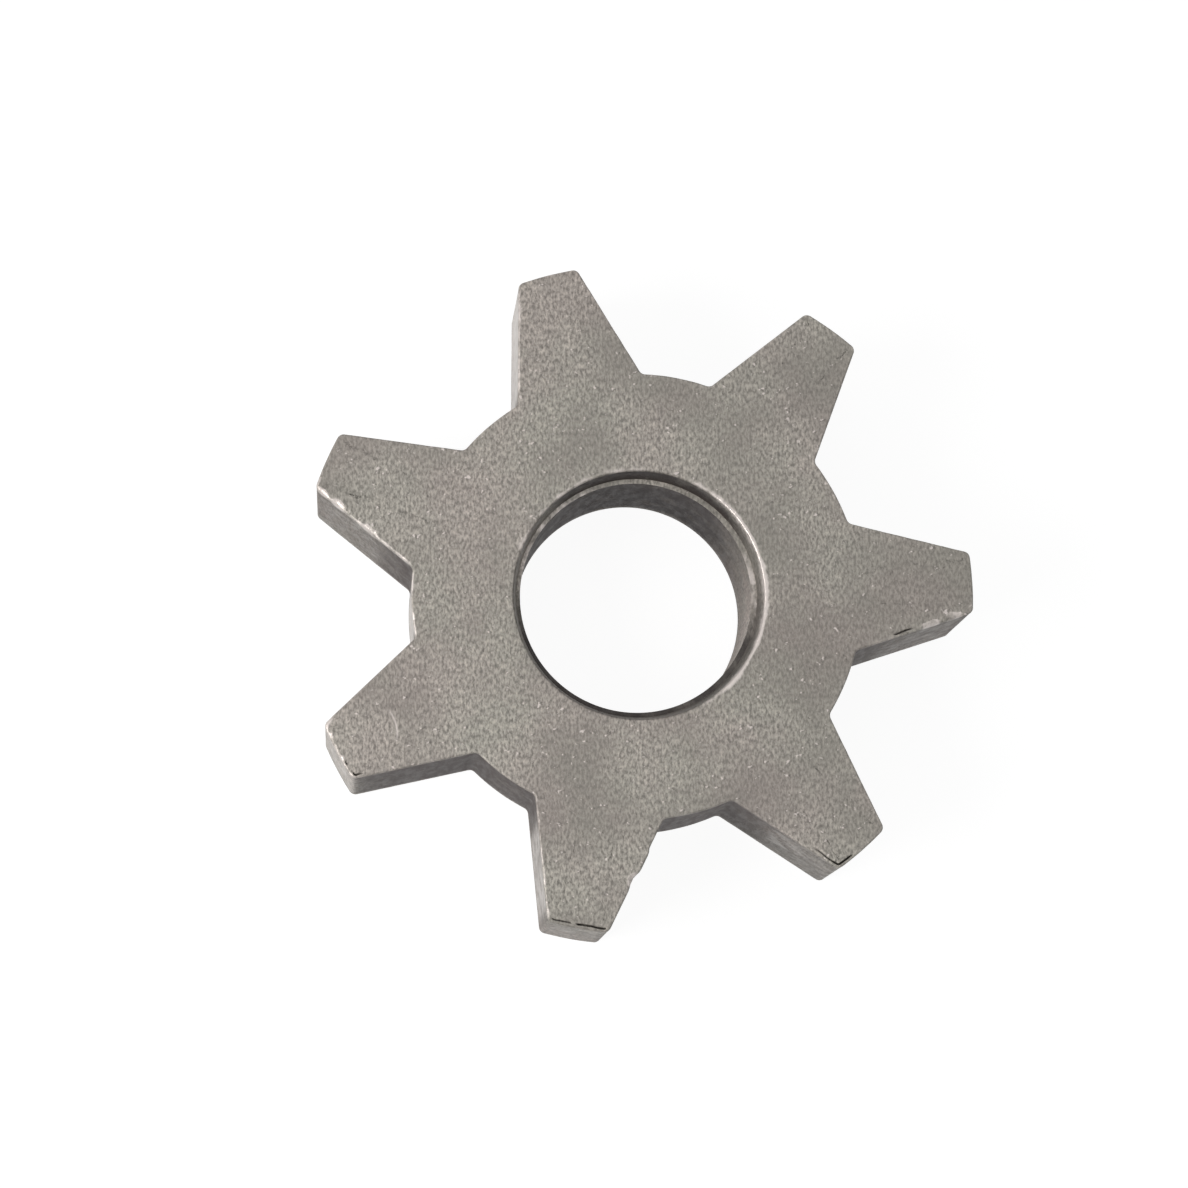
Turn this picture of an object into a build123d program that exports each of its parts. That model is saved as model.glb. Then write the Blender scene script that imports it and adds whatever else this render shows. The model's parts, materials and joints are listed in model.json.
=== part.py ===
from build123d import *
import os
from math import pi, radians, sqrt, tan

# Drive sprocket of a chain saw: one flat star of pressed steel with a plain round bore.
# Origin at the bore's centre, half way through the thickness, +Z along the bore, one tooth on +Y. Millimetres.

# Chain that the sprocket drives: three eighths of an inch from rivet to rivet
chain_pitch = 9.525
strap_half_height = 2.87

# Teeth, with straight flanks and tips that lie on one circle
tooth_count = 7
tooth_height = 6.0
tooth_tip_width = 3.25
flank_angle = 15.8
tip_corner_radius = 0.38
root_corner_radius = 0.4

# Body
thickness = 8.0
face_edge_break = 0.1

# Bore, with a narrow ledge and a steep flare at the front face and a plain broken edge at the back
bore_diameter = 12.4
mouth_depth = 1.1
mouth_ledge_width = 0.24
mouth_flare_width = 0.26
mouth_edge_radius = 0.12
bore_back_break = 0.1

# Drive links lie in the gaps and the straps between them ride on the tips, so a turn takes two links a tooth
links_per_turn = 2 * tooth_count
link_line_radius = chain_pitch / 2 / tan(pi / links_per_turn)
tip_radius = link_line_radius - strap_half_height
root_radius = tip_radius - tooth_height

# One tooth as a taper along +X, from the axis to just past the tip circle
flank_slope = tan(radians(flank_angle))
tip_half_width = tooth_tip_width / 2
tip_corner_reach = sqrt(tip_radius**2 - tip_half_width**2)
taper_end = tip_radius + tip_half_width
taper_start_half_width = tip_half_width + tip_corner_reach * flank_slope
taper_end_half_width = tip_half_width - (taper_end - tip_corner_reach) * flank_slope

# Radii and heights of the bore's section
half_thickness = thickness / 2
ledge_height = half_thickness - mouth_depth
bore_radius = bore_diameter / 2
ledge_radius = bore_radius + mouth_ledge_width
mouth_radius = ledge_radius + mouth_flare_width


def axis_distance(corner):
    """Distance of a corner from the bore's axis, rounded so that like corners group together."""
    return round(Vector(corner.X, corner.Y).length, 3)


with BuildPart() as sprocket:
    # Star outline: a root disc with tapered teeth, trimmed by the tip circle
    with BuildSketch() as outline:
        Circle(root_radius)
        with PolarLocations(0, tooth_count, start_angle=90):
            Polygon(
                (0, -taper_start_half_width),
                (taper_end, -taper_end_half_width),
                (taper_end, taper_end_half_width),
                (0, taper_start_half_width),
                align=None,
            )
        Circle(tip_radius, mode=Mode.INTERSECT)
        fillet(outline.vertices().group_by(axis_distance)[-1], tip_corner_radius)
        fillet(outline.vertices().group_by(axis_distance)[0], root_corner_radius)
    extrude(amount=half_thickness, both=True)

    # Broken edges around both faces
    face_levels = sprocket.edges().group_by(Axis.Z)
    chamfer(face_levels[0] + face_levels[-1], face_edge_break)

    # Bore and its front mouth, cut as one turned section
    with BuildSketch(Plane.XZ):
        with BuildLine():
            Polyline(
                (0, -half_thickness),
                (bore_radius, -half_thickness),
                (bore_radius, ledge_height),
                (ledge_radius, ledge_height),
                (mouth_radius, half_thickness),
                (0, half_thickness),
                close=True,
            )
        make_face()
    revolve(axis=Axis.Z, mode=Mode.SUBTRACT)

    # Rounded rim of the mouth, and the bore's broken edge at the back
    bore_circles = sprocket.edges().filter_by(lambda edge: edge.is_closed).group_by(Axis.Z)
    fillet(bore_circles[-1], mouth_edge_radius)
    chamfer(bore_circles[0], bore_back_break)

sprocket.part.label = "sprocket"

os.makedirs("parts", exist_ok=True)
export_step(sprocket.part, "parts/sprocket.step")
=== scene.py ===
"""Looks of a chain saw's drive sprocket: one worn star of pressed, sintered steel on a white studio floor.

Sizes are in millimetres, and turn into metres only where meshes, lamps and the camera are made.
"""
import json
import logging
import math
from dataclasses import dataclass, field
from enum import Enum

import bpy
import numpy as np
from mathutils import Matrix, Vector, noise


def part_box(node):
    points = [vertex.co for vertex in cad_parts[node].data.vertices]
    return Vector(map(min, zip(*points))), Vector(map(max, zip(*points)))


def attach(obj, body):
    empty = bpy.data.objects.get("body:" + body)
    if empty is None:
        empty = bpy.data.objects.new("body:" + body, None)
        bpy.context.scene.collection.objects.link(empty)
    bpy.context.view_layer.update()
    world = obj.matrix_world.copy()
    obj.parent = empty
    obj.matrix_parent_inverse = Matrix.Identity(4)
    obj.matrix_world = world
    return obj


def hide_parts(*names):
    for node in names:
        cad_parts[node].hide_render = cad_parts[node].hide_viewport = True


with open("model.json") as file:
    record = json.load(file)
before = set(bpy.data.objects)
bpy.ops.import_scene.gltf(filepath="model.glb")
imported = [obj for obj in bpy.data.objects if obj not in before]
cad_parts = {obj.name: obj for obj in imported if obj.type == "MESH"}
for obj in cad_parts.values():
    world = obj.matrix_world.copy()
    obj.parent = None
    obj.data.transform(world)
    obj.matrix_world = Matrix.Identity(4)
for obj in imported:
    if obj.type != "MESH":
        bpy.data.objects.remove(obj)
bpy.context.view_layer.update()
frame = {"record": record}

MM = 0.001
NODE = "sprocket"
log = logging.getLogger("sprocket_looks")

Colour = tuple[float, float, float]
Triple = tuple[float, float, float]
Feed = bpy.types.NodeSocket | float | tuple

# How far one step of a noise seed moves the pattern
SEED_STEP: Triple = (17.3, 5.1, 11.7)


class Zone(Enum):
    """Stretches of the section that have a finish of their own, numbered as the mesh's material slots."""

    FACE = 0
    WALL = 1
    BORE = 2


class Side(Enum):
    """The two faces of the sprocket, valued by the sign of Z that they look along."""

    FRONT = 1
    BACK = -1


class FlawKind(Enum):
    """What a flaw does to the front edge of a tooth, or to the wall under it; highlight, lit wall and shaded
    wall are painted highlight, painted light and painted shade.
    """

    CHIP = "chip"
    CRACK = "crack"
    BULGE = "bulge"
    SHINE = "highlight"
    RUB = "lit_wall"
    GRIME = "shaded_wall"


def linear(red: int, green: int, blue: int) -> Colour:
    """Turns a colour as it is seen on a screen into the linear values that shaders take.

    Args:
        red: Red from 0 to 255.
        green: Green from 0 to 255.
        blue: Blue from 0 to 255.

    Returns:
        The three linear values, from 0 to 1.
    """
    seen = (channel / 255 for channel in (red, green, blue))
    return tuple(v / 12.92 if v <= 0.04045 else ((v + 0.055) / 1.055) ** 2.4 for v in seen)


def smooth_step(low: float, high: float, values: np.ndarray) -> np.ndarray:
    """Rises smoothly from 0 at low to 1 at high.

    Args:
        low: Value where the rise starts.
        high: Value where the rise ends.
        values: Values to map.

    Returns:
        The mapped values, from 0 to 1.
    """
    share = np.clip((values - low) / (high - low), 0.0, 1.0)
    return share * share * (3 - 2 * share)


def rough_noise(points: np.ndarray, size: float, octaves: int, seed: float) -> np.ndarray:
    """Cloudy noise at each point, about zero.

    Args:
        points: Points as rows of x, y and z in millimetres.
        size: Width of the largest lumps in millimetres.
        octaves: How many finer layers are added.
        seed: Shift that gives another pattern.

    Returns:
        One value for each point, mostly within -1 and 1.
    """
    shift = Vector([seed * step for step in SEED_STEP])
    return np.array([noise.fractal(Vector(p) / size + shift, 1.0, 2.0, octaves) for p in points])


def arc(centre: np.ndarray, radius: float, start: float, end: float, count: int) -> np.ndarray:
    """Points along an arc, without the last one.

    Args:
        centre: Centre of the arc.
        radius: Its radius.
        start: Angle of the first point in radians.
        end: Angle at which the arc stops.
        count: How many points it gets.

    Returns:
        Points as rows of x and y.
    """
    angles = np.linspace(start, end, count, endpoint=False)
    return centre + radius * np.column_stack((np.cos(angles), np.sin(angles)))


@dataclass(frozen=True)
class OutlineSamples:
    """The star's outline as points in order, counter-clockwise seen from the front.

    along is the way from the middle of the tooth's tip, clockwise positive.
    tooth is the number of the tooth, clockwise from the one on +Y.
    """

    points: np.ndarray
    normals: np.ndarray
    along: np.ndarray
    tooth: np.ndarray


@dataclass(frozen=True)
class StarOutline:
    """Outline of straight-flanked teeth on a root circle, with rounded corners."""

    tip_radius: float
    tooth_count: int = 7
    tooth_height: float = 6.0
    tip_width: float = 3.25
    flank_angle: float = 15.8
    tip_corner: float = 0.38
    root_corner: float = 0.4
    tip_points: int = 12
    tip_corner_points: int = 9
    flank_points: int = 32
    root_corner_points: int = 6
    root_points: int = 9

    @property
    def root_radius(self) -> float:
        """Radius of the circle that the teeth stand on."""
        return self.tip_radius - self.tooth_height

    def half_tooth(self) -> np.ndarray:
        """Traces the outline from the middle of a tip to the middle of a gap, for a tooth along +X.

        Returns:
            Points as rows of x and y, both ends included.
        """
        slope = math.radians(self.flank_angle)
        inward = np.array((-math.cos(slope), math.sin(slope)))
        outward = np.array((math.sin(slope), math.cos(slope)))
        half_width = self.tip_width / 2
        corner = np.array((math.sqrt(self.tip_radius**2 - half_width**2), half_width))

        def fillet_centre(offset: float, reach: float) -> np.ndarray:
            """Finds the point at that offset from the flank and that distance from the axis."""
            base = corner + outward * offset
            travel = base @ inward
            return base + inward * (-travel - math.sqrt(travel**2 - base @ base + reach**2))

        tip_centre = fillet_centre(-self.tip_corner, self.tip_radius - self.tip_corner)
        root_centre = fillet_centre(self.root_corner, self.root_radius + self.root_corner)
        tip_angle = math.atan2(tip_centre[1], tip_centre[0])
        root_angle = math.atan2(root_centre[1], root_centre[0])
        flank_facing = math.atan2(outward[1], outward[0])
        corner_start = flank_facing + math.pi
        corner_end = root_angle + math.pi
        gap_angle = math.pi / self.tooth_count
        axis = np.zeros(2)
        flank_start = tip_centre + outward * self.tip_corner
        flank_end = root_centre - outward * self.root_corner
        shares = np.linspace(0, 1, self.flank_points, endpoint=False)[:, None]
        gap_middle = self.root_radius * np.array([(math.cos(gap_angle), math.sin(gap_angle))])
        return np.concatenate((
            arc(axis, self.tip_radius, 0.0, tip_angle, self.tip_points),
            arc(tip_centre, self.tip_corner, tip_angle, flank_facing, self.tip_corner_points),
            flank_start + (flank_end - flank_start) * shares,
            arc(root_centre, self.root_corner, corner_start, corner_end, self.root_corner_points),
            arc(axis, self.root_radius, root_angle, gap_angle, self.root_points),
            gap_middle,
        ))

    def sample(self) -> OutlineSamples:
        """Places the teeth round the axis, the first on +Y.

        Returns:
            The whole outline.
        """
        half = self.half_tooth()
        travel = np.concatenate(((0.0,), np.cumsum(np.linalg.norm(np.diff(half, axis=0), axis=1))))
        tooth_points = np.concatenate(((half * (1, -1))[::-1], half[1:-1]))
        tooth_along = np.concatenate((travel[::-1], -travel[1:-1]))
        points = []
        for number in range(self.tooth_count):
            turn = math.pi / 2 + 2 * math.pi * number / self.tooth_count
            spin = np.array(((math.cos(turn), math.sin(turn)), (-math.sin(turn), math.cos(turn))))
            points.append(tooth_points @ spin)
        points = np.concatenate(points)
        tangents = np.roll(points, -1, axis=0) - np.roll(points, 1, axis=0)
        tangents /= np.linalg.norm(tangents, axis=1)[:, None]
        clockwise = [-number % self.tooth_count for number in range(self.tooth_count)]
        return OutlineSamples(
            points=points,
            normals=np.column_stack((tangents[:, 1], -tangents[:, 0])),
            along=np.tile(tooth_along, self.tooth_count),
            tooth=np.repeat(clockwise, len(tooth_points)),
        )


@dataclass(frozen=True)
class EdgeFlaw:
    """A flaw along the front edge of one tooth, or a stretch of painted light and shade on that edge and the
    wall under it.

    centre and length run along the outline, and full_share is how much of it has the whole depth.
    For the highlight, lit wall and shaded wall kinds, the depth is the strength of their painted light and
    shade, from 0 to 1.
    """

    kind: FlawKind
    tooth: int
    centre: float
    length: float
    depth: float
    full_share: float = 0.55

    def strength(self, outline: OutlineSamples) -> np.ndarray:
        """Works out how deep or strong the flaw is at each point of the outline.

        Args:
            outline: The star's outline.

        Returns:
            The depth or strength at each point.
        """
        reach = np.abs(outline.along - self.centre) / (self.length / 2)
        faded = self.depth * (1 - smooth_step(self.full_share, 1.0, reach))
        return np.where(outline.tooth == self.tooth, faded, 0.0)


FRONT_FLAWS = (
    EdgeFlaw(FlawKind.CRACK, tooth=4, centre=0.95, length=1.5, depth=0.08),
    EdgeFlaw(FlawKind.CRACK, tooth=4, centre=-0.1, length=0.5, depth=0.24),
    EdgeFlaw(FlawKind.CRACK, tooth=4, centre=-0.95, length=1.5, depth=0.16),
    EdgeFlaw(FlawKind.CRACK, tooth=3, centre=1.3, length=1.7, depth=0.18),
    EdgeFlaw(FlawKind.CRACK, tooth=3, centre=2.6, length=1.6, depth=0.08),
    EdgeFlaw(FlawKind.CRACK, tooth=5, centre=-1.7, length=0.8, depth=0.15),
    EdgeFlaw(FlawKind.CRACK, tooth=5, centre=-0.75, length=0.35, depth=0.08),
    EdgeFlaw(FlawKind.CRACK, tooth=2, centre=5.5, length=1.4, depth=0.1),
    EdgeFlaw(FlawKind.BULGE, tooth=4, centre=-5.7, length=1.7, depth=0.1),
    EdgeFlaw(FlawKind.BULGE, tooth=4, centre=-4.5, length=0.9, depth=-0.06),
    EdgeFlaw(FlawKind.CHIP, tooth=4, centre=-4.7, length=0.9, depth=0.2),
    EdgeFlaw(FlawKind.CHIP, tooth=6, centre=-1.9, length=0.9, depth=0.16),
    EdgeFlaw(FlawKind.CHIP, tooth=6, centre=-3.1, length=0.8, depth=0.2),
    EdgeFlaw(FlawKind.CHIP, tooth=6, centre=-5.2, length=1.0, depth=0.12),
    EdgeFlaw(FlawKind.CHIP, tooth=2, centre=2.6, length=1.2, depth=0.24),
    EdgeFlaw(FlawKind.CHIP, tooth=2, centre=4.0, length=1.2, depth=0.16),
    EdgeFlaw(FlawKind.CHIP, tooth=5, centre=1.7, length=0.9, depth=0.1),
    EdgeFlaw(FlawKind.CHIP, tooth=5, centre=0.9, length=0.45, depth=0.09),
    EdgeFlaw(FlawKind.CHIP, tooth=5, centre=0.25, length=0.4, depth=0.07),
    EdgeFlaw(FlawKind.CHIP, tooth=5, centre=-0.4, length=0.45, depth=0.1),
    # Painted highlights along edges that face the lamp, laid over the edges' wear.
    EdgeFlaw(FlawKind.SHINE, tooth=6, centre=-4.8, length=9.6, depth=0.45),
    EdgeFlaw(FlawKind.SHINE, tooth=6, centre=-9.6, length=2.4, depth=0.4),
    EdgeFlaw(FlawKind.SHINE, tooth=5, centre=9.2, length=2.6, depth=0.4),
    EdgeFlaw(FlawKind.SHINE, tooth=5, centre=0.0, length=4.6, depth=0.4),
    EdgeFlaw(FlawKind.SHINE, tooth=4, centre=4.6, length=7.2, depth=0.28),
    EdgeFlaw(FlawKind.SHINE, tooth=0, centre=-4.6, length=8.0, depth=0.4),
    # Painted light on walls that face the lamp: less painted shade and a brighter colour.
    EdgeFlaw(FlawKind.RUB, tooth=0, centre=-4.6, length=9.0, depth=0.95),
    EdgeFlaw(FlawKind.RUB, tooth=4, centre=4.4, length=6.5, depth=0.75),
    EdgeFlaw(FlawKind.RUB, tooth=5, centre=0.0, length=5.0, depth=0.65),
    EdgeFlaw(FlawKind.RUB, tooth=5, centre=9.6, length=3.2, depth=0.9),
    EdgeFlaw(FlawKind.RUB, tooth=6, centre=-9.9, length=2.6, depth=0.9),
    EdgeFlaw(FlawKind.RUB, tooth=6, centre=-3.9, length=6.0, depth=0.45),
    EdgeFlaw(FlawKind.RUB, tooth=4, centre=0.0, length=4.0, depth=0.5),
    EdgeFlaw(FlawKind.RUB, tooth=3, centre=3.4, length=6.4, depth=0.5),
    EdgeFlaw(FlawKind.RUB, tooth=2, centre=4.2, length=6.4, depth=0.48),
    # Painted shade on a lower flank.
    EdgeFlaw(FlawKind.GRIME, tooth=5, centre=-5.6, length=9.0, depth=0.4),
)


@dataclass(frozen=True)
class Sector:
    """The directions near one bearing, in degrees from +X towards +Y."""

    bearing: float
    whole: float
    gone: float

    def cover(self, directions: np.ndarray) -> np.ndarray:
        """Picks out the directions that lie in the sector.

        Args:
            directions: Directions as rows of x and y.

        Returns:
            For each direction, 1 up to whole degrees off the bearing, fading to 0 at gone degrees.
        """
        bearings = np.degrees(np.arctan2(directions[:, 1], directions[:, 0]))
        off = np.abs((bearings - self.bearing + 180) % 360 - 180)
        return 1 - smooth_step(self.whole, self.gone, off)


@dataclass(frozen=True)
class MouthShading:
    """Where painted highlights and painted shade lie on the bore and its mouth, and by what share; the rim
    keeps a little wear all round.
    """

    # Sectors by bearing: painted highlights on the rim, painted shade on the flare and the ledge, and less
    # painted shade on the lit side of the bore.
    highlit_rim: Sector = Sector(bearing=-12.0, whole=42.0, gone=72.0)
    pale_rim: Sector = Sector(bearing=113.0, whole=20.0, gone=50.0)
    black_flare: Sector = Sector(bearing=64.0, whole=40.0, gone=60.0)
    darkened_flare: Sector = Sector(bearing=-46.0, whole=25.0, gone=50.0)
    dim_ledge: Sector = Sector(bearing=50.0, whole=25.0, gone=50.0)
    shadowed_ledge: Sector = Sector(bearing=-110.0, whole=65.0, gone=100.0)
    lit_bore: Sector = Sector(bearing=-45.0, whole=10.0, gone=90.0)
    inner_ledge_highlight: float = 0.75
    outer_ledge_highlight: float = 0.65
    dim_ledge_loss: float = 0.5
    flare_shade: float = 0.38
    darkened_flare_shade: float = 0.37
    black_flare_shade: float = 0.8
    flare_highlight: float = 0.8
    rim_shine: float = 0.3
    pale_rim_highlight: float = 0.4
    rim_shade: float = 0.7
    pale_rim_loss: float = 0.7
    bore_shade: float = 1.15
    lit_bore_loss: float = 1.14


@dataclass(frozen=True)
class WallShading:
    """How the outer wall's painted shade thins out from root to tip, and what its painted light changes."""

    root_shade: float = 1.1
    lower_flank_loss: float = 0.2
    lower_flank_end: float = 1.5
    upper_flank_loss: float = 0.3
    upper_flank_start: float = 1.0
    upper_flank_end: float = 0.6
    tip_shade: float = 0.15
    lit_loss: float = 0.8
    under_edge_highlight: float = 0.6
    under_edge_shade: float = 0.35
    under_edge_rows: int = 3


@dataclass
class SectionRow:
    """One ring of the mesh: where it runs, how far wear and painted highlight brighten it, how much painted
    shade it carries, and how cracked it is.
    """

    points: np.ndarray
    edge: np.ndarray
    painted_shade: np.ndarray
    crack: np.ndarray


@dataclass
class SprocketBody:
    """The sprocket as one closed mesh of rings, with broken edges, chips and cracks."""

    outline: StarOutline
    half_thickness: float
    bore_radius: float
    mouth_depth: float = 1.1
    ledge_width: float = 0.24
    flare_width: float = 0.26
    rim_radius: float = 0.12
    mouth_drift: tuple[float, float] = (0.09, -0.03)
    back_break: float = 0.1
    edge_break: float = 0.1
    edge_spread: float = 0.6
    edge_swell: float = 0.5
    edge_nicks: float = 0.7
    chip_nicks: float = 0.5
    edge_limits: tuple[float, float] = (0.05, 0.6)
    face_waves: float = 0.006
    wall_waves: float = 0.012
    wall_draw: Triple = (1.0, 1.0, 0.15)
    bulge_reach: float = 0.6
    flaw_shows: tuple[float, float] = (0.02, 0.1)
    front_shine: float = 0.35
    chip_shine: float = 0.9
    back_shine: float = 0.3
    lip_shine: float = 0.5
    back_edge_shine: float = 0.4
    # Darker on the bore's rounded back edge.
    back_edge_darkening: float = 0.5
    # Painted highlights and painted shade of the mouth, the bore and the outer wall.
    mouth_shading: MouthShading = MouthShading()
    wall_shading: WallShading = WallShading()
    front_rows: int = 28
    back_rows: int = 10
    flare_rows: int = 3
    flare_ends: tuple[float, float] = (0.04, 0.96)
    rim_rows: int = 4
    edge_rows: int = 5
    wall_rows: int = 14
    bore_rows: int = 8
    ledge_margin: float = 0.03
    lip_insets: tuple[float, ...] = (0.5, 0.3, 0.15, 0.08, 0.02)
    crack_row: int = 3
    sharp_angle: float = 50.0
    samples: OutlineSamples = field(init=False)

    def __post_init__(self) -> None:
        """Samples the outline once."""
        self.samples = self.outline.sample()

    def ring(self, radius: float, height: float, drift: float = 0.0) -> np.ndarray:
        """Makes a circle about the axis, with a point under each point of the outline.

        Args:
            radius: Radius of the circle.
            height: Its height.
            drift: Share of the mouth's drift off the axis.

        Returns:
            Points as rows of x, y and z.
        """
        way_out = self.samples.points / np.linalg.norm(self.samples.points, axis=1)[:, None]
        flat = way_out * radius + np.array(self.mouth_drift) * drift
        return np.column_stack((flat, np.full(len(way_out), height)))

    def row(self, points: np.ndarray, edge: float | np.ndarray = 0.0, painted_shade: float | np.ndarray = 0.0,
            crack: float | np.ndarray = 0.0) -> SectionRow:
        """Wraps a ring's points, spreading single values over all of them.

        Args:
            points: Points as rows of x, y and z.
            edge: How far the ring is brightened by wear and painted highlight.
            painted_shade: How much painted shade it carries.
            crack: How far it lies in a crack, whose near-black colour is painted shade.

        Returns:
            The ring.
        """
        count = len(points)
        spread = [np.broadcast_to(np.asarray(v, dtype=float), (count,)) for v in (edge, painted_shade, crack)]
        return SectionRow(points, *spread)

    def flaw_depth(self, kind: FlawKind) -> np.ndarray:
        """Adds up the flaws of one kind along the front edge.

        Args:
            kind: The kind of flaw.

        Returns:
            The depth or strength at each point of the outline.
        """
        return sum(flaw.strength(self.samples) for flaw in FRONT_FLAWS if flaw.kind is kind)

    def edge_radii(self, side: Side) -> np.ndarray:
        """Works out the radius of the worn edge along the outline.

        Args:
            side: The face that the edge belongs to.

        Returns:
            The radius at each point of the outline.
        """
        flat = np.column_stack((self.samples.points, np.zeros(len(self.samples.points))))
        slow = rough_noise(flat, size=3.0, octaves=2, seed=3.0 + side.value)
        quick = rough_noise(flat, size=0.7, octaves=3, seed=9.0 + side.value)
        radii = self.edge_break * (1 + self.edge_spread * (slow * self.edge_swell + quick * self.edge_nicks))
        if side is Side.FRONT:
            radii = radii + self.flaw_depth(FlawKind.CHIP) * (1 + self.chip_nicks * quick)
        return np.clip(radii, *self.edge_limits)

    def front_mouth(self) -> list[SectionRow]:
        """Makes the rings of the stepped mouth: ledge, steep flare and rounded rim.

        Returns:
            The rings, from the bore outwards.
        """
        wear_and_light = self.mouth_shading
        top = self.half_thickness
        ledge_height = top - self.mouth_depth
        ledge_radius = self.bore_radius + self.ledge_width
        steep = math.atan2(self.mouth_depth, self.flare_width)
        rim_centre = ledge_radius + self.flare_width + self.rim_radius * math.tan(steep / 2)
        rim = [
            (rim_centre - self.rim_radius * math.sin(angle), self.rim_radius * (1 - math.cos(angle)))
            for angle in np.linspace(steep, 0.0, self.rim_rows)
        ]
        around = self.samples.points
        # The ledge gets a painted highlight, dimmed by painted shade in one sector and replaced by the rim's
        # painted shadow on the lamp's side.
        shadowed = wear_and_light.shadowed_ledge.cover(around)
        brightened = wear_and_light.highlit_rim.cover(around)
        pale = wear_and_light.pale_rim.cover(around)
        dimmed = wear_and_light.dim_ledge_loss * wear_and_light.dim_ledge.cover(around)
        inner_highlight = (wear_and_light.inner_ledge_highlight - dimmed) * (1 - shadowed)
        outer_highlight = (wear_and_light.outer_ledge_highlight - dimmed) * (1 - shadowed)
        rows = [
            self.row(self.ring(self.bore_radius, ledge_height), inner_highlight, shadowed),
            self.row(self.ring(ledge_radius, ledge_height, 0.5), outer_highlight, shadowed),
        ]
        # The steep flare is darkened all round by painted shade, more in two sectors, and takes the rim's
        # painted highlight near its top.
        darkening = wear_and_light.darkened_flare_shade * wear_and_light.darkened_flare.cover(around)
        darkness = wear_and_light.flare_shade + darkening + wear_and_light.black_flare_shade * wear_and_light.black_flare.cover(around)
        for share in np.linspace(*self.flare_ends, self.flare_rows):
            radius = ledge_radius + (rim[0][0] - ledge_radius) * share
            depth = self.mouth_depth + (rim[0][1] - self.mouth_depth) * share
            lit_share = wear_and_light.flare_highlight * brightened * share**3
            points = self.ring(radius, top - depth, 0.5 + 0.5 * share)
            rows.append(self.row(points, edge=lit_share, painted_shade=darkness * (1 - lit_share)))
        # The rim keeps a little wear all round, with painted highlights where it faces the lamp and painted
        # shade on its inner rows elsewhere.
        highlight = wear_and_light.rim_shine + brightened + wear_and_light.pale_rim_highlight * pale
        unshaded = (1 - brightened) * (1 - wear_and_light.pale_rim_loss * pale)
        for number, (radius, depth) in enumerate(rim):
            shade = wear_and_light.rim_shade * (1 - number / (self.rim_rows - 1)) * unshaded
            rows.append(self.row(self.ring(radius, top - depth, 1.0), highlight, shade))
        return rows

    def back_edge(self) -> list[SectionRow]:
        """Makes the rings of the bore's rounded edge at the back.

        Returns:
            The rings, from the bore outwards.
        """
        rows = []
        for angle in np.linspace(0, math.pi / 2, self.rim_rows):
            radius = self.bore_radius + self.back_break * (1 - math.cos(angle))
            height = -self.half_thickness + self.back_break * (1 - math.sin(angle))
            rows.append(self.row(self.ring(radius, height), self.back_edge_shine, self.back_edge_darkening))
        return rows

    def face_side(self, side: Side) -> list[SectionRow]:
        """Makes the rings of one face, from the bore's wall over the face and its worn edge to the wall.

        Args:
            side: Which face.

        Returns:
            The rings, from the bore outwards.
        """
        radii = self.edge_radii(side)
        if side is Side.FRONT:
            rows = self.front_mouth()
            face_rows = self.front_rows
            crack = self.flaw_depth(FlawKind.CRACK)
            bulge = self.flaw_depth(FlawKind.BULGE)
            wear_and_light = self.front_wear_and_highlight()
        else:
            rows = self.back_edge()
            face_rows = self.back_rows
            crack = bulge = np.zeros(len(radii))
            wear_and_light = np.full(len(radii), self.back_shine)
        inner = rows[-1].points[:, :2]

        def inset(distance: np.ndarray) -> np.ndarray:
            """Moves the outline inwards along its normals, from where the bulges put it."""
            return self.samples.points - self.samples.normals * (distance - bulge)[:, None]

        lip_start = inset(radii + self.lip_insets[0])
        for share in np.linspace(0, 1, face_rows + 1, endpoint=False)[1:]:
            rows.append(self.row(self.lay_on_face(side, inner + (lip_start - inner) * share)))
        for number, distance in enumerate(self.lip_insets):
            points = self.lay_on_face(side, inset(radii + distance))
            gap = crack if number == self.crack_row else np.zeros(len(crack))
            points[:, 2] -= side.value * gap
            reach = self.lip_shine * number / (len(self.lip_insets) - 1)
            rows.append(self.row(points, edge=wear_and_light * reach, crack=smooth_step(*self.flaw_shows, gap)))
        for angle in np.linspace(0, math.pi / 2, self.edge_rows):
            flat = inset(radii * (1 - math.sin(angle)))
            height = side.value * (self.half_thickness - radii * (1 - math.cos(angle)))
            rows.append(self.row(np.column_stack((flat, height)), edge=wear_and_light))
        return rows

    def front_wear_and_highlight(self) -> np.ndarray:
        """Works out how far the front edge is brightened: by wear all along and at chips, and by painted
        highlights where it faces the lamp.

        Returns:
            The wear at each point of the outline, from 0 to 1.
        """
        brightened = self.front_shine + self.flaw_depth(FlawKind.SHINE)
        chipped = self.chip_shine * smooth_step(*self.flaw_shows, self.flaw_depth(FlawKind.CHIP))
        return np.maximum(brightened, chipped)

    def lay_on_face(self, side: Side, flat: np.ndarray) -> np.ndarray:
        """Lays points on a face, which is a little wavy but never stands proud of its plane.

        Args:
            side: Which face.
            flat: Points as rows of x and y.

        Returns:
            Points as rows of x, y and z.
        """
        points = np.column_stack((flat, np.full(len(flat), side.value * self.half_thickness)))
        waves = np.clip(0.5 + 0.5 * rough_noise(points, size=1.1, octaves=3, seed=1.0), 0.0, 1.0)
        points[:, 2] -= side.value * self.face_waves * waves
        return points

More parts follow.
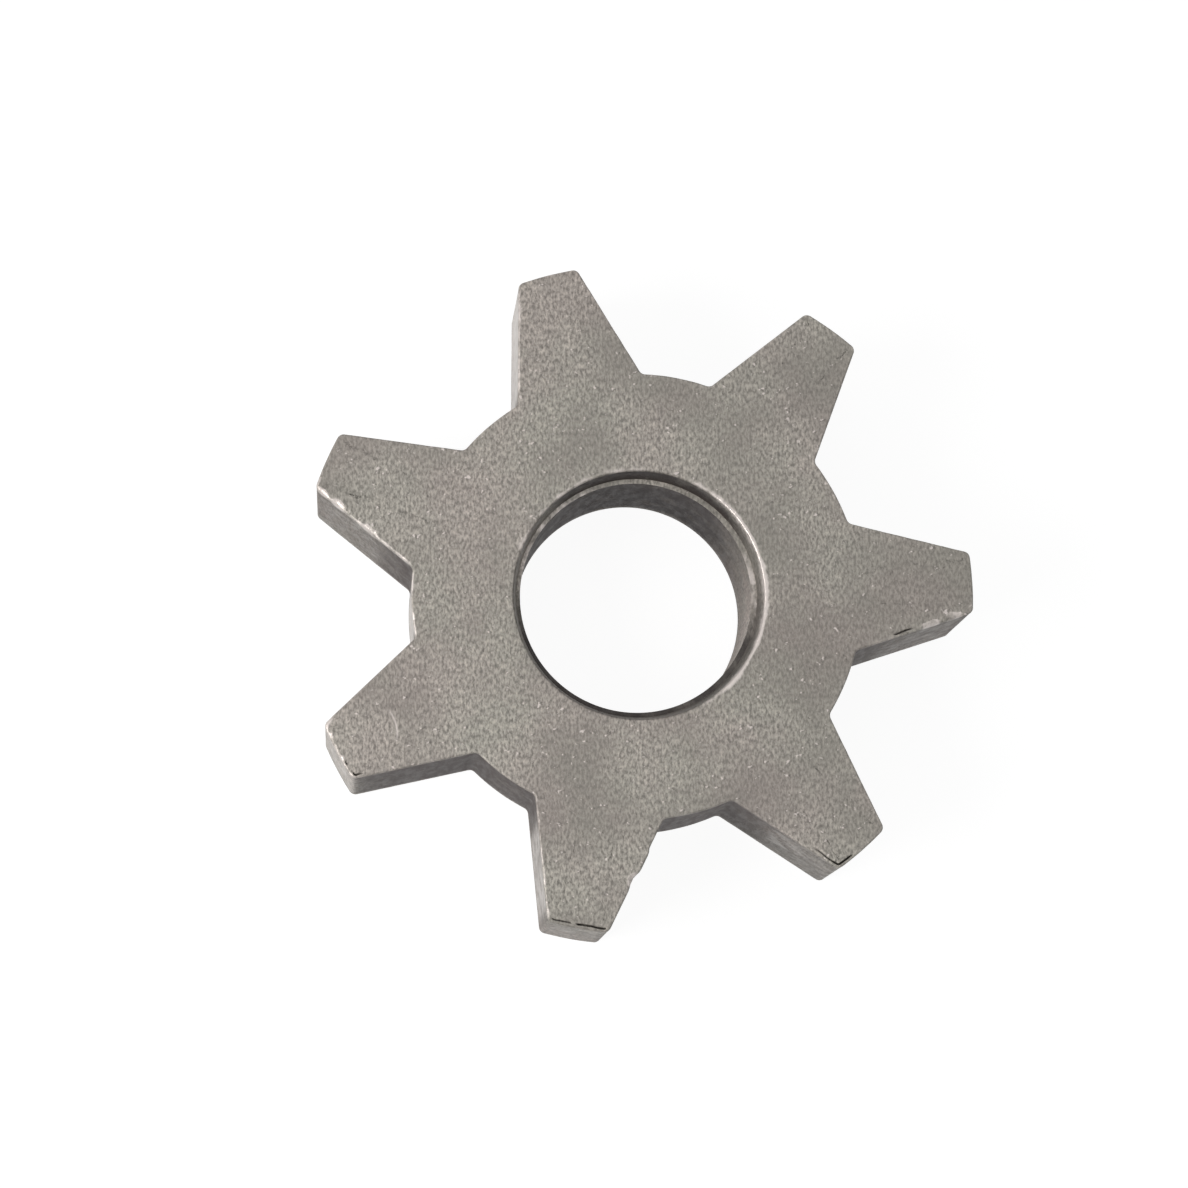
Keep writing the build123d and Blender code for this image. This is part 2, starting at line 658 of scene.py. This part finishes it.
    def wall_painted_shade(self, on_tip: np.ndarray) -> np.ndarray:
        """Works out the painted shade on the outer wall, most in the roots and least on the tips, lifted
        where painted light lies and deepened on one shaded flank.

        Args:
            on_tip: Which points of the outline lie on a tip.

        Returns:
            The dirt at each point of the outline.
        """
        wear_and_light = self.wall_shading
        reach = np.linalg.norm(self.samples.points, axis=1)
        root, tip = self.outline.root_radius, self.outline.tip_radius
        lower_flank = smooth_step(root, root + wear_and_light.lower_flank_end, reach)
        upper_flank = smooth_step(root + wear_and_light.upper_flank_start, tip - wear_and_light.upper_flank_end, reach)
        sides = wear_and_light.root_shade - wear_and_light.lower_flank_loss * lower_flank - wear_and_light.upper_flank_loss * upper_flank
        lightened = 1 - wear_and_light.lit_loss * self.flaw_depth(FlawKind.RUB)
        return np.where(on_tip, wear_and_light.tip_shade, sides) * lightened + self.flaw_depth(FlawKind.GRIME)

    def wall(self, front: SectionRow, back: SectionRow) -> list[SectionRow]:
        """Makes the rings of the outer wall between the two worn edges.

        Args:
            front: The last ring of the front edge.
            back: The last ring of the back edge.

        Returns:
            The rings from the front down, without the two given ones.
        """
        wear_and_light = self.wall_shading
        on_tip = np.abs(self.samples.along) < self.outline.tip_width / 2
        painted_shade = self.wall_painted_shade(on_tip)
        brightened = self.flaw_depth(FlawKind.RUB)
        highlight = self.flaw_depth(FlawKind.SHINE)
        bulge = self.flaw_depth(FlawKind.BULGE)
        rows = []
        for share in np.linspace(0, 1, self.wall_rows + 2)[1:-1]:
            points = front.points + (back.points - front.points) * share
            points[:, :2] = self.samples.points
            fade = max(0.0, 1 - share / self.bulge_reach)
            lines = rough_noise(points * self.wall_draw, size=0.6, octaves=3, seed=5.0)
            shift = bulge * fade - self.wall_waves * np.clip(0.5 + 0.5 * lines, 0.0, 1.0)
            points[:, :2] += self.samples.normals * shift[:, None]
            # Painted highlight runs a few rows down from the highlighted edge; elsewhere painted shade lies
            # under the edge, except on the tips.
            under_edge = max(0.0, 1 - share * self.wall_rows / wear_and_light.under_edge_rows)
            lit_under_edge = wear_and_light.under_edge_highlight * highlight * under_edge
            shade = painted_shade + wear_and_light.under_edge_shade * under_edge * (1 - highlight) * ~on_tip
            rows.append(self.row(points, edge=np.maximum(lit_under_edge, brightened), painted_shade=shade))
        return rows

    def bore(self) -> list[SectionRow]:
        """Makes the rings of the bore's wall.

        Returns:
            The rings from the back up, without those at its ends.
        """
        wear_and_light = self.mouth_shading
        low = -self.half_thickness + self.back_break
        high = self.half_thickness - self.mouth_depth
        heights = [*np.linspace(low, high, self.bore_rows + 2)[1:-1], high - self.ledge_margin]
        # Painted shade on the bore's wall, less on the side that faces the lamp.
        shade = wear_and_light.bore_shade - wear_and_light.lit_bore_loss * wear_and_light.lit_bore.cover(self.samples.points)
        return [self.row(self.ring(self.bore_radius, height), painted_shade=shade) for height in heights]

    def build(self) -> bpy.types.Object:
        """Joins the rings into one closed mesh.

        Returns:
            The sprocket's object.
        """
        front = self.face_side(Side.FRONT)
        back = self.face_side(Side.BACK)
        wall = self.wall(front[-1], back[-1])
        bore = self.bore()
        rows = [*front, *wall, *reversed(back), *bore]
        zones = [Zone.FACE] * (len(front) - 1) + [Zone.WALL] * (len(wall) + 1)
        zones += [Zone.FACE] * (len(back) - 1) + [Zone.BORE] * (len(bore) + 1)
        around = len(self.samples.points)
        points = np.concatenate([row.points for row in rows]) * MM
        here = np.arange(around)
        after = np.roll(here, -1)
        quads = []
        for number in range(len(rows)):
            low = number * around
            high = (number + 1) % len(rows) * around
            quads.append(np.column_stack((low + here, high + here, high + after, low + after)))
        mesh = bpy.data.meshes.new("sprocket_star")
        mesh.from_pydata(points.tolist(), [], np.concatenate(quads).tolist())
        mesh.polygons.foreach_set("material_index", np.repeat([zone.value for zone in zones], around))
        for name in ("edge", "painted_shade", "crack"):
            values = np.concatenate([getattr(row, name) for row in rows])
            mesh.attributes.new(name, "FLOAT", "POINT").data.foreach_set("value", values)
        mesh.shade_smooth()
        mesh.set_sharp_from_angle(angle=math.radians(self.sharp_angle))
        mesh.update()
        piece = bpy.data.objects.new("sprocket_star", mesh)
        bpy.context.collection.objects.link(piece)
        return piece

    def dress(self, piece: bpy.types.Object, finishes: dict[Zone, bpy.types.Material]) -> None:
        """Gives each zone its material and ties the piece to the frame.

        Args:
            piece: The sprocket's object.
            finishes: The material of each zone.
        """
        for zone in Zone:
            piece.data.materials.append(finishes[zone])
        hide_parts(NODE)
        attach(piece, "root")


class Sheet:
    """A node tree with short calls that add and join nodes."""

    COLOUR_A = 6
    COLOUR_B = 7
    COLOUR_RESULT = 2
    SPAN_INPUTS = ("Value", "From Min", "From Max", "To Min", "To Max")
    VALUE_OPERATIONS = ("LENGTH", "DOT_PRODUCT")

    def __init__(self, tree: bpy.types.NodeTree) -> None:
        """Keeps the tree that nodes are added to."""
        self.tree = tree

    def node(self, kind: str, **settings: object) -> bpy.types.Node:
        """Adds a node.

        Args:
            kind: Blender's name of the node's type.
            settings: The node's options, by their names.

        Returns:
            The node.
        """
        made = self.tree.nodes.new(kind)
        for name, value in settings.items():
            setattr(made, name, value)
        return made

    def feed(self, socket: bpy.types.NodeSocket, value: Feed) -> None:
        """Joins a socket to another, or sets its own value.

        Args:
            socket: The socket that is fed.
            value: Another node's socket, or a plain value.
        """
        if isinstance(value, bpy.types.NodeSocket):
            self.tree.links.new(value, socket)
        else:
            socket.default_value = value

    def noise(
        self, position: Feed, scale: Feed, detail: float = 2.0, rough: float = 0.55
    ) -> bpy.types.NodeSocket:
        """Adds cloudy noise.

        Args:
            position: Where it is read, in millimetres.
            scale: Lumps per millimetre.
            detail: How many finer layers it has.
            rough: How strong they are.

        Returns:
            The noise, from 0 to 1.
        """
        made = self.node("ShaderNodeTexNoise")
        self.feed(made.inputs["Vector"], position)
        self.feed(made.inputs["Scale"], scale)
        made.inputs["Detail"].default_value = detail
        made.inputs["Roughness"].default_value = rough
        return made.outputs[0]

    def span(
        self, value: Feed, low: Feed, high: Feed, to_low: Feed = 0.0, to_high: Feed = 1.0
    ) -> bpy.types.NodeSocket:
        """Maps a value smoothly from one range to another.

        Args:
            value: The value.
            low: Start of its range.
            high: End of its range.
            to_low: What the start turns into.
            to_high: What the end turns into.

        Returns:
            The mapped value, held within the new range.
        """
        made = self.node("ShaderNodeMapRange", interpolation_type="SMOOTHSTEP")
        for name, part in zip(self.SPAN_INPUTS, (value, low, high, to_low, to_high)):
            self.feed(made.inputs[name], part)
        return made.outputs[0]

    def maths(self, operation: str, first: Feed, second: Feed = 0.0) -> bpy.types.NodeSocket:
        """Adds a Math node.

        Args:
            operation: Blender's name of the operation.
            first: The first value.
            second: The second one, where the operation takes two.

        Returns:
            The result, not held within a range.
        """
        made = self.node("ShaderNodeMath", operation=operation)
        self.feed(made.inputs[0], first)
        self.feed(made.inputs[1], second)
        return made.outputs[0]

    def vectors(
        self, operation: str, first: Feed, second: Feed = (0.0, 0.0, 0.0)
    ) -> bpy.types.NodeSocket:
        """Adds a Vector Math node.

        Args:
            operation: Blender's name of the operation.
            first: The first vector.
            second: The second one, where the operation takes two.

        Returns:
            A value for lengths and dot products, and a vector for the rest.
        """
        made = self.node("ShaderNodeVectorMath", operation=operation)
        self.feed(made.inputs[0], first)
        self.feed(made.inputs[1], second)
        return made.outputs["Value" if operation in self.VALUE_OPERATIONS else "Vector"]

    def mix(self, share: Feed, first: Feed, second: Feed, blend: str = "MIX") -> bpy.types.NodeSocket:
        """Mixes two colours.

        Args:
            share: How much of the second colour is taken.
            first: The colour underneath.
            second: The colour on top.
            blend: Blender's name of the way they mix.

        Returns:
            The mixed colour.
        """
        made = self.node("ShaderNodeMix", data_type="RGBA", blend_type=blend)
        self.feed(made.inputs[0], share)
        self.feed(made.inputs[self.COLOUR_A], first)
        self.feed(made.inputs[self.COLOUR_B], second)
        return made.outputs[self.COLOUR_RESULT]

    def tint(self, mask: Feed, share: float, under: Feed, colour: Colour) -> bpy.types.NodeSocket:
        """Lays a colour over another where a mask says so.

        Args:
            mask: Where the colour lies, from 0 to 1.
            share: How much of it covers where the mask is full.
            under: The colour underneath.
            colour: The colour on top.

        Returns:
            The mixed colour.
        """
        return self.mix(self.maths("MULTIPLY", mask, share), under, (*colour, 1))


class EffectGroup:
    """A shader node group for one effect, with named inputs and outputs."""

    KINDS = {float: "NodeSocketFloat", tuple: "NodeSocketVector"}

    def __init__(self, name: str, inputs: dict[str, type], outputs: tuple[str, ...]) -> None:
        """Makes the empty group.

        Args:
            name: Name of the group.
            inputs: Name and type of each input.
            outputs: Name of each output, all of them values.
        """
        self.tree = bpy.data.node_groups.new(name, "ShaderNodeTree")
        for label, kind in inputs.items():
            self.tree.interface.new_socket(name=label, in_out="INPUT", socket_type=self.KINDS[kind])
        for label in outputs:
            self.tree.interface.new_socket(name=label, in_out="OUTPUT", socket_type="NodeSocketFloat")
        self.sheet = Sheet(self.tree)
        self.given = self.sheet.node("NodeGroupInput").outputs
        self.result = self.sheet.node("NodeGroupOutput").inputs

    def place(self, sheet: Sheet, **feeds: Feed) -> bpy.types.bpy_prop_collection:
        """Puts the group into a material.

        Args:
            sheet: The material's nodes.
            feeds: What each input gets, by its name.

        Returns:
            The group's outputs.
        """
        made = sheet.node("ShaderNodeGroup", node_tree=self.tree)
        for label, value in feeds.items():
            sheet.feed(made.inputs[label], value)
        return made.outputs


# Numbers inside the shared effects
COARSE_GRAIN_SCALE = 0.36
GRAIN_RANGE = (0.25, 0.75)
HUE_SHIFT: Triple = (43.7, -20.1, 30.2)
PATCH_RANGE = (0.3, 0.7)
FLECK_SOFTNESS = 0.07
CLOUD_RANGE = (0.2, 0.8)
BRIGHTENING_BREAKS = (-0.55, 0.35)
BRIGHTENING_RANGE = (0.3, 1.0)
SHADE_UNEVENNESS = (0.65, 1.1)


def grain_effect() -> EffectGroup:
    """Pressed powder grain, fine and coarse, drawn out along one direction.

    Returns:
        The group, with two values from 0 to 1.
    """
    inputs = {"Position": tuple, "Turn": float, "Stretch": tuple, "Scale": float}
    group = EffectGroup("powder_grain", inputs, ("Fine", "Coarse"))
    sheet, given = group.sheet, group.given
    turned = sheet.node("ShaderNodeVectorRotate", rotation_type="Z_AXIS")
    sheet.feed(turned.inputs["Vector"], given["Position"])
    sheet.feed(turned.inputs["Angle"], given["Turn"])
    drawn = sheet.vectors("MULTIPLY", turned.outputs[0], given["Stretch"])
    fine = sheet.noise(drawn, given["Scale"], detail=2.0, rough=0.6)
    coarse_scale = sheet.maths("MULTIPLY", given["Scale"], COARSE_GRAIN_SCALE)
    coarse = sheet.noise(drawn, coarse_scale, detail=3.0, rough=0.6)
    sheet.feed(group.result["Fine"], sheet.span(fine, *GRAIN_RANGE))
    sheet.feed(group.result["Coarse"], sheet.span(coarse, *GRAIN_RANGE))
    return group


def mottle_effect() -> EffectGroup:
    """Broad patches that shift the tone and the hue a little.

    Returns:
        The group, with two values from 0 to 1.
    """
    group = EffectGroup("tone_patches", {"Position": tuple, "Scale": float}, ("Tone", "Hue"))
    sheet, given = group.sheet, group.given
    tone = sheet.noise(given["Position"], given["Scale"], detail=2.0)
    moved = sheet.vectors("ADD", given["Position"], HUE_SHIFT)
    hue = sheet.noise(moved, given["Scale"], detail=3.0)
    sheet.feed(group.result["Tone"], sheet.span(tone, *PATCH_RANGE))
    sheet.feed(group.result["Hue"], sheet.span(hue, *PATCH_RANGE))
    return group


def fleck_effect() -> EffectGroup:
    """Scattered ragged flecks: the peaks of a rough noise.

    Returns:
        The group, with a mask from 0 to 1.
    """
    group = EffectGroup("flecks", {"Position": tuple, "Scale": float, "Level": float}, ("Mask",))
    sheet, given = group.sheet, group.given
    peaks = sheet.noise(given["Position"], given["Scale"], detail=3.0, rough=0.5)
    top = sheet.maths("ADD", given["Level"], FLECK_SOFTNESS)
    sheet.feed(group.result["Mask"], sheet.span(peaks, given["Level"], top))
    return group


def brightening_effect() -> EffectGroup:
    """Bright rubbed metal and painted highlight that break up along an edge, more or less raggedly.

    Returns:
        The group, with the brightening from 0 to 1.
    """
    group = EffectGroup("worn_and_lit_edge", {"Position": tuple, "Edge": float, "Ragged": float}, ("Brightening",))
    sheet, given = group.sheet, group.given
    cloud = sheet.noise(given["Position"], scale=1.3, detail=4.0, rough=0.65)
    breaks = sheet.span(cloud, *CLOUD_RANGE, *BRIGHTENING_BREAKS)
    reach = sheet.maths("ADD", given["Edge"], sheet.maths("MULTIPLY", breaks, given["Ragged"]))
    sheet.feed(group.result["Brightening"], sheet.span(reach, *BRIGHTENING_RANGE))
    return group


def painted_shade_effect() -> EffectGroup:
    """Painted shade in the roots, the bore and the mouth, in uneven cover.

    Returns:
        The group, with the share of the surface that is covered.
    """
    group = EffectGroup("painted_shade_cover", {"Position": tuple, "Cover": float}, ("Shade",))
    sheet, given = group.sheet, group.given
    cloud = sheet.noise(given["Position"], scale=0.7, detail=4.0, rough=0.6)
    uneven = sheet.span(cloud, *CLOUD_RANGE, *SHADE_UNEVENNESS)
    sheet.feed(group.result["Shade"], sheet.maths("MULTIPLY", given["Cover"], uneven))
    return group


@dataclass(frozen=True)
class SteelEffects:
    """The effects that the sprocket's finishes share."""

    grain: EffectGroup
    mottle: EffectGroup
    fleck: EffectGroup
    wear_and_light: EffectGroup
    painted_shade: EffectGroup

    @classmethod
    def make(cls) -> "SteelEffects":
        """Builds each effect once."""
        return cls(grain_effect(), mottle_effect(), fleck_effect(), brightening_effect(), painted_shade_effect())


@dataclass(frozen=True)
class Scratch:
    """A bright curved scratch: a short stretch of a circle, its middle on a bearing from the centre."""

    centre: Triple
    radius: float
    bearing: float
    half_turn: float
    half_width: float = 0.09

    def mask(self, sheet: Sheet, position: bpy.types.NodeSocket) -> bpy.types.NodeSocket:
        """Adds the nodes that find the scratch.

        Args:
            sheet: The material's nodes.
            position: Place on the sprocket in millimetres.

        Returns:
            1 along the scratch, fading to 0 at its sides and ends.
        """
        bearing, half_turn = math.radians(self.bearing), math.radians(self.half_turn)
        away = sheet.vectors("SUBTRACT", position, self.centre)
        reach = sheet.vectors("LENGTH", away)
        ahead = sheet.vectors("DOT_PRODUCT", away, (math.cos(bearing), math.sin(bearing), 0.0))
        beside = sheet.maths("ABSOLUTE", sheet.maths("SUBTRACT", reach, self.radius))
        across = sheet.span(beside, 0.0, self.half_width, 1.0, 0.0)
        aligned = sheet.maths("DIVIDE", ahead, reach)
        along = sheet.span(aligned, math.cos(half_turn), math.cos(half_turn / 2))
        return sheet.maths("MULTIPLY", across, along)


@dataclass(frozen=True)
class SteelFinish:
    """One finish of the sintered steel."""

    name: str
    dark: Colour
    light: Colour
    mauve: Colour
    green: Colour
    brightened: Colour
    painted_shade: Colour
    stretch: Triple
    # Near black: painted shade in the cracks.
    crack: Colour = (0.015, 0.012, 0.011)
    turn: float = 0.0
    patch_scale: float = 0.18
    patch_shift: Triple = (-59.3, 62.7, 25.2)
    grain_scale: float = 7.5
    fine_contrast: float = 0.42
    coarse_contrast: float = 0.12
    grain_evenness: tuple[float, float] = (0.65, 1.15)
    bright_scale: float = 3.4
    bright_level: float = 0.665
    bright_share: float = 0.85
    pit_scale: float = 2.6
    pit_level: float = 0.68
    pit_depth: float = 1.6
    dark_share: float = 0.3
    fleck_shadow: Triple = (0.13, -0.035, 0.0)
    scratches: tuple[Scratch, ...] = ()
    scratch_share: float = 0.7
    brightening_share: float = 0.65
    ragged_brightening: float = 1.0
    wear_polish: float = 0.2
    wear_metal: float = 0.2
    metallic: float = 0.35
    roughness: float = 0.56
    roughness_spread: tuple[float, float] = (-0.06, 0.08)
    bump_strength: float = 0.5
    bump_distance: float = 0.02

    def material(self, effects: SteelEffects) -> bpy.types.Material:
        """Builds the finish as a material.

        Args:
            effects: The shared effects.

        Returns:
            The material.
        """
        made = bpy.data.materials.new(self.name)
        made.use_nodes = True
        made.node_tree.nodes.clear()
        sheet = Sheet(made.node_tree)
        shader = sheet.node("ShaderNodeBsdfPrincipled")
        sheet.feed(sheet.node("ShaderNodeOutputMaterial").inputs["Surface"], shader.outputs[0])
        place = sheet.node("ShaderNodeVectorMath", operation="SCALE")
        sheet.feed(place.inputs[0], sheet.node("ShaderNodeTexCoord").outputs["Object"])
        place.inputs["Scale"].default_value = 1 / MM
        position = place.outputs[0]
        edge, cover, crack = (
            sheet.node("ShaderNodeAttribute", attribute_name=name).outputs["Fac"]
            for name in ("edge", "painted_shade", "crack")
        )
        grain = effects.grain.place(
            sheet, Position=position, Turn=self.turn, Stretch=self.stretch, Scale=self.grain_scale
        )
        pits = effects.fleck.place(
            sheet, Position=position, Scale=self.pit_scale, Level=self.pit_level
        )["Mask"]
        wear_and_light = effects.wear_and_light.place(sheet, Position=position, Edge=edge, Ragged=self.ragged_brightening)["Brightening"]
        painted_shade = effects.painted_shade.place(sheet, Position=position, Cover=cover)["Shade"]

        colour = self.bare_colour(sheet, effects, position, grain, pits)
        # Painted shade first, then wear with painted highlights, then the cracks' near-black painted shade.
        colour = sheet.mix(painted_shade, colour, (*self.painted_shade, 1))
        colour = sheet.tint(wear_and_light, self.brightening_share, colour, self.brightened)
        colour = sheet.mix(crack, colour, (*self.crack, 1))
        sheet.feed(shader.inputs["Base Color"], colour)

        smooth, coarse = (self.roughness + spread for spread in self.roughness_spread)
        rough = sheet.span(grain["Coarse"], 0.0, 1.0, smooth, coarse)
        polish = sheet.maths("MULTIPLY", wear_and_light, self.wear_polish)
        sheet.feed(shader.inputs["Roughness"], sheet.maths("SUBTRACT", rough, polish))
        bare = sheet.maths("ADD", self.metallic, sheet.maths("MULTIPLY", wear_and_light, self.wear_metal))
        unshaded = sheet.span(painted_shade, 0.0, 1.0, 1.0, 0.0)
        sheet.feed(shader.inputs["Metallic"], sheet.maths("MULTIPLY", bare, unshaded))

        height = sheet.maths("ADD", grain["Fine"], grain["Coarse"])
        height = sheet.maths("SUBTRACT", height, sheet.maths("MULTIPLY", pits, self.pit_depth))
        bump = sheet.node("ShaderNodeBump")
        bump.inputs["Strength"].default_value = self.bump_strength
        bump.inputs["Distance"].default_value = self.bump_distance * MM
        sheet.feed(bump.inputs["Height"], height)
        sheet.feed(shader.inputs["Normal"], bump.outputs[0])
        return made

    def bare_colour(
        self,
        sheet: Sheet,
        effects: SteelEffects,
        position: bpy.types.NodeSocket,
        grain: bpy.types.bpy_prop_collection,
        pits: bpy.types.NodeSocket,
    ) -> bpy.types.NodeSocket:
        """Colours the steel itself: patches, grain, pits, flecks with a painted highlight and a painted
        shadow beside each, and scratches.

        Args:
            sheet: The material's nodes.
            effects: The shared effects.
            position: Place on the sprocket in millimetres.
            grain: Outputs of the grain effect.
            pits: Mask of the pits.

        Returns:
            The colour, without painted shade, worn and highlighted edges, and cracks.
        """
        patch_place = sheet.vectors("ADD", position, self.patch_shift)
        patches = effects.mottle.place(sheet, Position=patch_place, Scale=self.patch_scale)
        # Bright flecks are painted highlights on raised grains, and the copy shifted beside them is their
        # painted shadow.
        beside = sheet.vectors("SUBTRACT", position, self.fleck_shadow)
        scale, level = self.bright_scale, self.bright_level
        bright, shaded = (
            effects.fleck.place(sheet, Position=spot, Scale=scale, Level=level)["Mask"]
            for spot in (position, beside)
        )
        colour = sheet.mix(patches["Tone"], (*self.dark, 1), (*self.light, 1))
        hue = sheet.mix(patches["Hue"], (*self.mauve, 1), (*self.green, 1))
        colour = sheet.mix(1.0, colour, hue, "MULTIPLY")
        evenness = sheet.span(patches["Tone"], 0.0, 1.0, *self.grain_evenness)
        for part, contrast in (("Fine", self.fine_contrast), ("Coarse", self.coarse_contrast)):
            swing = sheet.maths("MULTIPLY", sheet.maths("SUBTRACT", grain[part], 0.5), 2 * contrast)
            tone = sheet.maths("ADD", 1.0, sheet.maths("MULTIPLY", swing, evenness))
            colour = sheet.mix(1.0, colour, tone, "MULTIPLY")
        for mask in (shaded, pits):
            colour = sheet.tint(mask, self.dark_share, colour, self.painted_shade)
        colour = sheet.tint(bright, self.bright_share, colour, self.brightened)
        for scratch in self.scratches:
            colour = sheet.tint(scratch.mask(sheet, position), self.scratch_share, colour, self.brightened)
        return colour


PRESSED_FACE = SteelFinish(
    name="pressed_face_steel",
    dark=linear(152, 146, 140),
    light=linear(171, 165, 158),
    mauve=(1.02, 0.99, 0.99),
    green=(0.985, 1.007, 0.98),
    brightened=linear(232, 222, 217),
    painted_shade=linear(48, 41, 39),
    stretch=(1.0, 0.5, 1.0),
    turn=math.radians(15),
    scratches=(Scratch(centre=(-16.23, -3.38, 4.0), radius=2.05, bearing=0.0, half_turn=26.0),),
)
DRAWN_WALL = SteelFinish(
    name="drawn_wall_steel",
    dark=linear(146, 140, 135),
    light=linear(162, 156, 150),
    mauve=(1.02, 0.99, 0.98),
    green=(0.98, 1.0, 0.97),
    brightened=linear(214, 208, 203),
    painted_shade=linear(66, 57, 54),
    stretch=(1.0, 1.0, 0.25),
    brightening_share=0.85,
    ragged_brightening=0.5,
    roughness=0.64,
)
BORE_WALL = SteelFinish(
    name="bore_wall_steel",
    dark=linear(170, 162, 155),
    light=linear(186, 178, 171),
    mauve=(1.03, 0.98, 0.98),
    green=(0.98, 1.0, 0.98),
    brightened=linear(200, 190, 184),
    painted_shade=linear(56, 49, 48),
    stretch=(1.0, 1.0, 0.3),
    metallic=0.3,
    roughness=0.7,
)


@dataclass(frozen=True)
class SoftLamp:
    """A square soft box that looks at the middle of the sprocket."""

    name: str
    comes_from: Triple
    distance: float
    size: float
    irradiance: float
    colour: Colour

    def build(self) -> None:
        """Adds the lamp to the scene."""
        lamp = bpy.data.lights.new(self.name, "AREA")
        lamp.size = self.size * MM
        lamp.energy = self.irradiance * math.pi * (self.distance * MM) ** 2
        lamp.color = self.colour
        holder = bpy.data.objects.new(self.name, lamp)
        away = Vector(self.comes_from).normalized()
        holder.location = away * self.distance * MM
        holder.rotation_euler = away.to_track_quat("Z", "Y").to_euler()
        bpy.context.collection.objects.link(holder)


@dataclass(frozen=True)
class PhotoCamera:
    """The camera of the photograph, in millimetres in the sprocket's own frame."""

    eye: Triple = (-23.2, -26.1, 191.4)
    aim: Triple = (-2.24, 0.61, 4.0)
    picture_up: Triple = (0.254, 0.953, 0.165)
    lens: float = 108.8
    sensor: float = 36.0
    nearest: float = 10.0
    farthest: float = 20000.0

    def build(self) -> None:
        """Adds the camera and makes it the scene's own."""
        data = bpy.data.cameras.new("photo_camera")
        data.lens = self.lens
        data.sensor_width = self.sensor
        data.clip_start = self.nearest * MM
        data.clip_end = self.farthest * MM
        holder = bpy.data.objects.new("photo_camera", data)
        back = (Vector(self.eye) - Vector(self.aim)).normalized()
        right = Vector(self.picture_up).cross(back).normalized()
        turn = Matrix((right, back.cross(right), back)).transposed()
        holder.matrix_world = Matrix.Translation(Vector(self.eye) * MM) @ turn.to_4x4()
        bpy.context.collection.objects.link(holder)
        bpy.context.scene.camera = holder


@dataclass(frozen=True)
class Studio:
    """White floor, soft light and camera."""

    floor_height: float
    floor_reach: float = 3000.0
    floor_colour: Colour = (0.2, 0.2, 0.2)
    floor_roughness: float = 0.9
    floor_glow: float = 0.93
    world_strength: float = 0.22
    white: tuple[float, float, float, float] = (1.0, 1.0, 1.0, 1.0)
    lamps: tuple[SoftLamp, ...] = (
        SoftLamp(
            name="window_lamp",
            comes_from=(-0.95, -0.02, 0.62),
            distance=165.0,
            size=115.0,
            irradiance=2.0,
            colour=(1.0, 0.99, 0.975),
        ),
        SoftLamp(
            name="ceiling_lamp",
            comes_from=(0.2, 0.5, 1.0),
            distance=600.0,
            size=500.0,
            irradiance=0.25,
            colour=(0.97, 0.985, 1.0),
        ),
    )
    camera: PhotoCamera = PhotoCamera()

    def seen_directly(self, sheet: Sheet) -> bpy.types.NodeSocket:
        """Tells rays that show the surface itself from those that only carry its light.

        Args:
            sheet: Nodes of the floor's material or of the world.

        Returns:
            1 on camera, glossy and transmission rays, and 0 on the rest.
        """
        rays = sheet.node("ShaderNodeLightPath").outputs
        shown = sheet.maths("MAXIMUM", rays["Is Camera Ray"], rays["Is Glossy Ray"])
        return sheet.maths("MAXIMUM", shown, rays["Is Transmission Ray"])

    def floor(self) -> None:
        """Lays the floor, which looks white and keeps the sprocket's shadow."""
        reach = self.floor_reach
        corners = [
            (x * MM, y * MM, self.floor_height * MM)
            for x, y in ((-reach, -reach), (reach, -reach), (reach, reach), (-reach, reach))
        ]
        mesh = bpy.data.meshes.new("studio_floor")
        mesh.from_pydata(corners, [], [(0, 1, 2, 3)])
        paint = bpy.data.materials.new("floor_white")
        paint.use_nodes = True
        sheet = Sheet(paint.node_tree)
        shader = paint.node_tree.nodes["Principled BSDF"]
        shader.inputs["Base Color"].default_value = (*self.floor_colour, 1)
        shader.inputs["Roughness"].default_value = self.floor_roughness
        shader.inputs["Specular IOR Level"].default_value = 0.0
        shader.inputs["Emission Color"].default_value = self.white
        glow = sheet.maths("MULTIPLY", self.seen_directly(sheet), self.floor_glow)
        sheet.feed(shader.inputs["Emission Strength"], glow)
        mesh.materials.append(paint)
        floor = bpy.data.objects.new("studio_floor", mesh)
        bpy.context.collection.objects.link(floor)

    def world(self) -> None:
        """Fills the room with even light, and looks white itself."""
        world = bpy.data.worlds.new("studio_world")
        bpy.context.scene.world = world
        world.use_nodes = True
        sheet = Sheet(world.node_tree)
        sky = world.node_tree.nodes["Background"]
        sky.inputs["Color"].default_value = self.white
        strength = sheet.span(self.seen_directly(sheet), 0.0, 1.0, self.world_strength, 1.0)
        sheet.feed(sky.inputs["Strength"], strength)

    def build(self) -> None:
        """Sets up the floor, the light and the camera."""
        bpy.context.scene.view_settings.view_transform = "Standard"
        self.floor()
        self.world()
        for lamp in self.lamps:
            lamp.build()
        self.camera.build()


def main() -> None:
    """Builds the sprocket and its studio, and reports each piece."""
    logging.basicConfig(level=logging.INFO, format="%(name)s: %(message)s")
    low, high = (np.array(corner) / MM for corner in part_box(NODE))
    bore = next(mount for mount in frame["record"]["mounts"] if mount["name"] == "bore")
    body = SprocketBody(
        outline=StarOutline(tip_radius=float(high[1])),
        half_thickness=float(high[2]),
        bore_radius=bore["dims"]["r_mm"],
    )
    effects = SteelEffects.make()
    finishes = {
        Zone.FACE: PRESSED_FACE.material(effects),
        Zone.WALL: DRAWN_WALL.material(effects),
        Zone.BORE: BORE_WALL.material(effects),
    }
    piece = body.build()
    body.dress(piece, finishes)
    log.info("%s: %d faces", piece.name, len(piece.data.polygons))
    Studio(floor_height=float(low[2])).build()
    log.info("studio: floor at %.2f mm", low[2])


if __name__ == "__main__":
    main()
